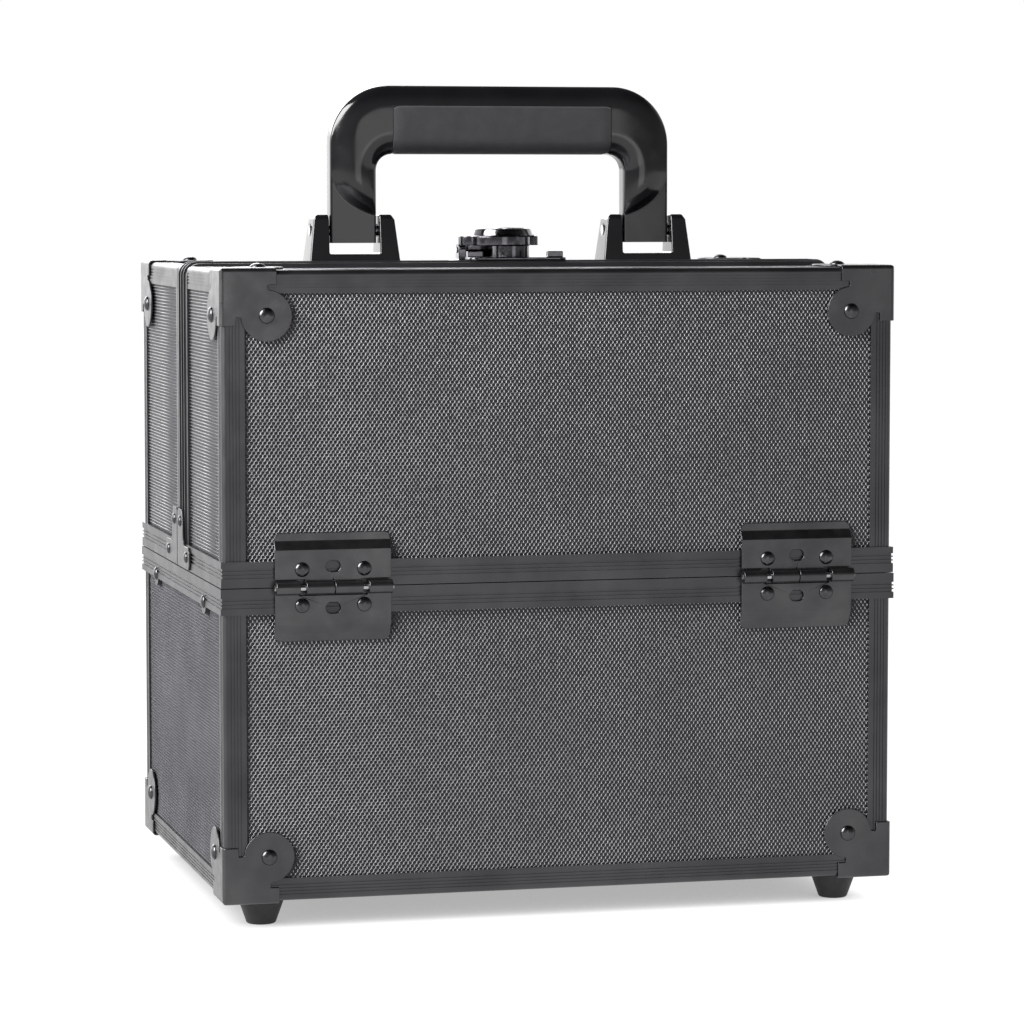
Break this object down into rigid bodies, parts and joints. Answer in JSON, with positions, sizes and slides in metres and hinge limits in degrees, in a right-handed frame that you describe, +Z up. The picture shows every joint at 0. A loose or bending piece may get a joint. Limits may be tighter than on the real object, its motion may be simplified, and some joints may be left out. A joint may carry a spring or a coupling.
{
  "type": "makeup train case",
  "caption": "Two-wing makeup train case: tub, wings that open outwards with level trays on arms, folding handle and lever latch.",
  "frame": {"origin": "middle of the footprint, at the bottom of the rubber feet", "axes": "+Z up; -Y is the front, the face with the nearer pair of hinges; +X runs to the right along the long side"},
  "size_m": [0.2536, 0.1892, 0.3016],
  "materials": {
    "rail_aluminium": "black anodised, fine extrusion lines, satin",
    "pressed_steel": "black electrophoretic coat, satin",
    "mesh_board": "black board faced with a woven-mesh pattern",
    "ribbed_board": "black board faced with fine horizontal ribs",
    "lining": "black needle-punched lining",
    "rivet_steel": "black coated dome, semi-gloss",
    "rubber": "black, matte",
    "screw_steel": "zinc plated",
    "pin_steel": "bright drawn",
    "arm_steel": "nickel plated strip",
    "handle_plastic": "black, polished",
    "grip_plastic": "black, fine spark texture",
    "tray_plastic": "black, moulded, fine grain",
    "latch_metal": "black chrome, semi-gloss",
    "lock_steel": "bright, brushed face"
  },
  "bodies": {
    "base": {"base_front_panel": "mesh_board", "base_rear_panel": "mesh_board", "base_side_panels": "mesh_board", "base_floor_panel": "mesh_board", "base_lining": "lining", "base_corner_posts": "rail_aluminium", "base_bottom_rails": "rail_aluminium", "base_rim_rails": "rail_aluminium", "base_corner_caps": "pressed_steel", "base_rivets": "rivet_steel", "rubber_feet": "rubber", "foot_screws": "screw_steel", "hinge_lower_leaves": "pressed_steel", "base_hinge_rivets": "rivet_steel", "hinge_pins": "pin_steel", "arm_anchor_plates": "arm_steel"},
    "front_wing": {"front_wing_face_panel": "mesh_board", "front_wing_top_panel": "mesh_board", "front_wing_side_panels": "ribbed_board", "front_wing_lining": "lining", "front_wing_edge_rails": "rail_aluminium", "front_wing_rim_rails": "rail_aluminium", "front_wing_seam_rail": "rail_aluminium", "front_wing_corner_caps": "pressed_steel", "front_wing_seam_brackets": "pressed_steel", "front_wing_rivets": "rivet_steel", "front_hinge_upper_leaves": "pressed_steel", "front_hinge_rivets": "rivet_steel", "front_tray_studs": "arm_steel", "latch_keeper": "latch_metal"},
    "rear_wing": {"rear_wing_face_panel": "mesh_board", "rear_wing_top_panel": "mesh_board", "rear_wing_side_panels": "ribbed_board", "rear_wing_lining": "lining", "rear_wing_edge_rails": "rail_aluminium", "rear_wing_rim_rails": "rail_aluminium", "rear_wing_seam_rail": "rail_aluminium", "rear_wing_corner_caps": "pressed_steel", "rear_wing_seam_brackets": "pressed_steel", "rear_wing_rivets": "rivet_steel", "rear_hinge_upper_leaves": "pressed_steel", "rear_hinge_rivets": "rivet_steel", "rear_tray_studs": "arm_steel", "handle_brackets": "handle_plastic", "handle_pivot_pins": "pin_steel", "latch_base_plate": "latch_metal", "latch_pin": "pin_steel"},
    "front_lower_tray": {"front_lower_tray": "tray_plastic"},
    "front_upper_tray": {"front_upper_tray": "tray_plastic"},
    "rear_lower_tray": {"rear_lower_tray": "tray_plastic"},
    "rear_upper_tray": {"rear_upper_tray": "tray_plastic"},
    "front_arms": {"front_arms": "arm_steel"},
    "rear_arms": {"rear_arms": "arm_steel"},
    "handle": {"handle_frame": "handle_plastic", "handle_grip": "grip_plastic"},
    "latch_lever": {"latch_lever": "latch_metal", "lock_cylinder": "latch_metal"},
    "lock_plug": {"lock_plug": "lock_steel"}
  },
  "joints": [
    {"name": "front_wing_hinge", "type": "hinge", "parent": "base", "child": "front_wing", "pos_m": [0, -0.09215, 0.12235], "axis": [1, 0, 0], "range_deg": [0, 90]},
    {"name": "front_lower_tray_pivot", "type": "hinge", "parent": "front_wing", "child": "front_lower_tray", "pos_m": [0, -0.06415, 0.15035], "axis": [1, 0, 0], "range_deg": [-90, 0]},
    {"name": "front_upper_tray_pivot", "type": "hinge", "parent": "front_wing", "child": "front_upper_tray", "pos_m": [0, -0.03515, 0.17935], "axis": [1, 0, 0], "range_deg": [-90, 0]},
    {"name": "front_arm_pivot", "type": "hinge", "parent": "base", "child": "front_arms", "pos_m": [0, -0.06815, 0.12035], "axis": [1, 0, 0], "range_deg": [0, 90]},
    {"name": "rear_wing_hinge", "type": "hinge", "parent": "base", "child": "rear_wing", "pos_m": [0, 0.09215, 0.12235], "axis": [-1, 0, 0], "range_deg": [0, 90]},
    {"name": "rear_lower_tray_pivot", "type": "hinge", "parent": "rear_wing", "child": "rear_lower_tray", "pos_m": [0, 0.06415, 0.15035], "axis": [-1, 0, 0], "range_deg": [-90, 0]},
    {"name": "rear_upper_tray_pivot", "type": "hinge", "parent": "rear_wing", "child": "rear_upper_tray", "pos_m": [0, 0.03515, 0.17935], "axis": [-1, 0, 0], "range_deg": [-90, 0]},
    {"name": "rear_arm_pivot", "type": "hinge", "parent": "base", "child": "rear_arms", "pos_m": [0, 0.06815, 0.12035], "axis": [-1, 0, 0], "range_deg": [0, 90]},
    {"name": "handle_fold", "type": "hinge", "parent": "rear_wing", "child": "handle", "pos_m": [0, 0.008, 0.2472], "axis": [-1, 0, 0], "range_deg": [0, 90]},
    {"name": "latch_flip", "type": "hinge", "parent": "rear_wing", "child": "latch_lever", "pos_m": [0, 0.021, 0.2395], "axis": [-1, 0, 0], "range_deg": [0, 90]},
    {"name": "key_turn", "type": "hinge", "parent": "latch_lever", "child": "lock_plug", "pos_m": [0.0045, 0.0082, 0.2425], "axis": [0, 0, 1], "range_deg": [0, 90]}
  ],
  "couplings": [
    {"joint": "front_lower_tray_pivot", "follows": "front_wing_hinge", "ratio": -1},
    {"joint": "front_upper_tray_pivot", "follows": "front_wing_hinge", "ratio": -1},
    {"joint": "front_arm_pivot", "follows": "front_wing_hinge", "ratio": 1},
    {"joint": "rear_lower_tray_pivot", "follows": "rear_wing_hinge", "ratio": -1},
    {"joint": "rear_upper_tray_pivot", "follows": "rear_wing_hinge", "ratio": -1},
    {"joint": "rear_arm_pivot", "follows": "rear_wing_hinge", "ratio": 1}
  ]
}
